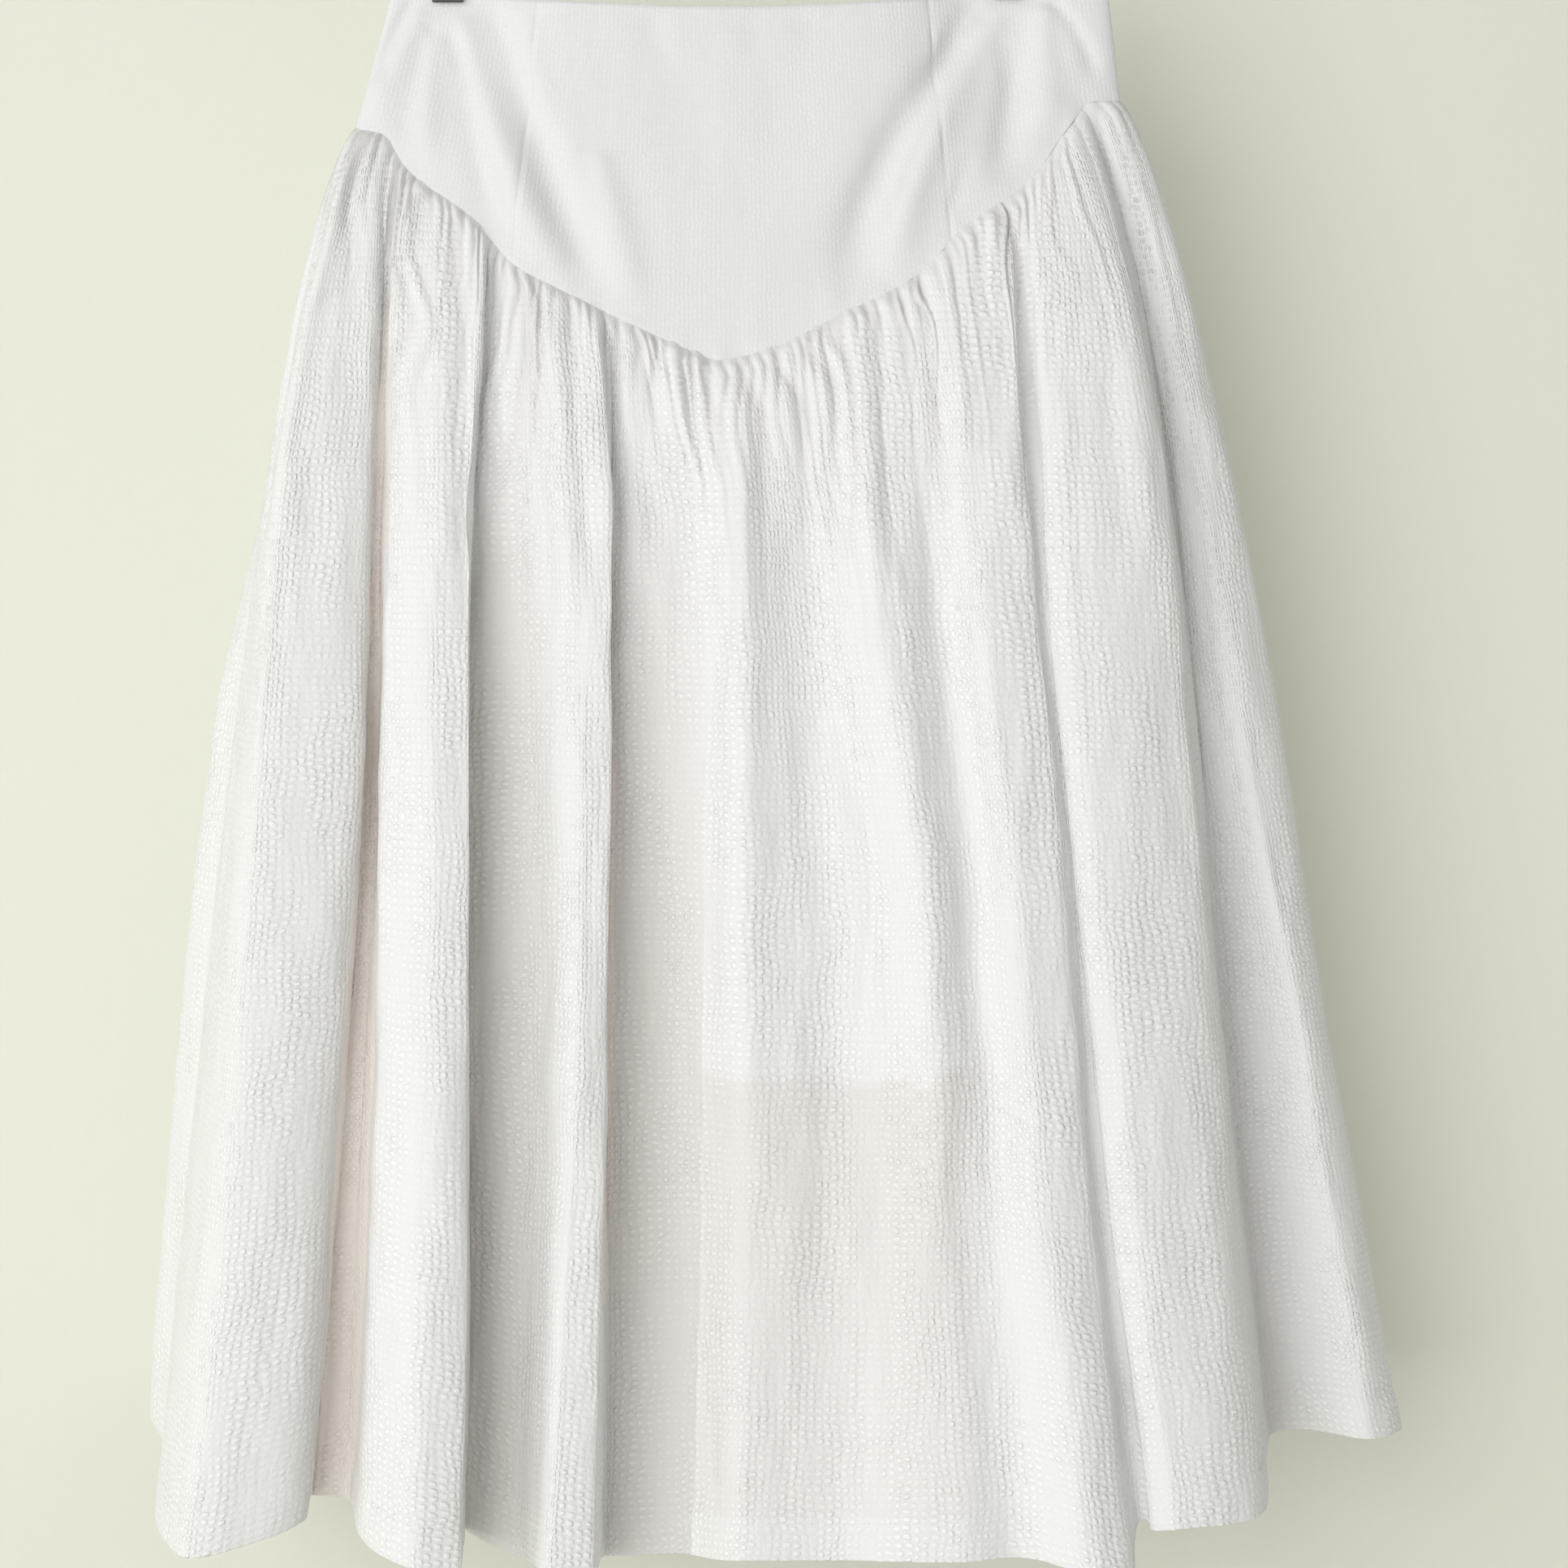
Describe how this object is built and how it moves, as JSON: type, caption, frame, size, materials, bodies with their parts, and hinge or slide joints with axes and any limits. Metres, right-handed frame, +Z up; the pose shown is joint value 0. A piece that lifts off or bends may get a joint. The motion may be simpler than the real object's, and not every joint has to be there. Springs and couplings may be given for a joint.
{
  "type": "midi skirt on a clip hanger",
  "caption": "White puckered cotton midi skirt with a fitted pointed yoke and a gathered skirt in deep cone folds, hung by its waist from a clip hanger.",
  "frame": {"origin": "underside of the hook's top, where the hanger hangs on its rail", "axes": "+Z up, front of the skirt faces -Y, +X to the right as seen from the front"},
  "size_m": [0.706, 0.217, 1.0038],
  "materials": {
    "cotton": "matt white seersucker cotton, puckered in small puffs",
    "lining": "plain thin white cotton",
    "zip_paint": "white painted metal",
    "steel": "plain dull steel",
    "rubber": "black rubber"
  },
  "bodies": {
    "skirt_and_hanger": {"yoke_front_left": "cotton", "yoke_front_centre": "cotton", "yoke_front_right": "cotton", "yoke_back_left": "cotton", "yoke_back_right": "cotton", "skirt_front": "cotton", "skirt_back_left": "cotton", "skirt_back_right": "cotton", "lining_front": "lining", "lining_back": "lining", "zip_slider": "zip_paint", "hanger_frame": "steel", "clip_left_saddle": "steel", "clip_left_front_jaw": "steel", "clip_left_back_jaw": "steel", "clip_left_front_pad": "rubber", "clip_left_back_pad": "rubber", "clip_right_saddle": "steel", "clip_right_front_jaw": "steel", "clip_right_back_jaw": "steel", "clip_right_front_pad": "rubber", "clip_right_back_pad": "rubber"},
    "zip_pull": {"zip_pull": "zip_paint"}
  },
  "joints": [
    {"name": "zip_pull", "type": "hinge", "parent": "skirt_and_hanger", "child": "zip_pull", "pos_m": [0.012, 0.02064, -0.18844], "axis": [1, 0, 0], "range_deg": [0, 165]}
  ]
}
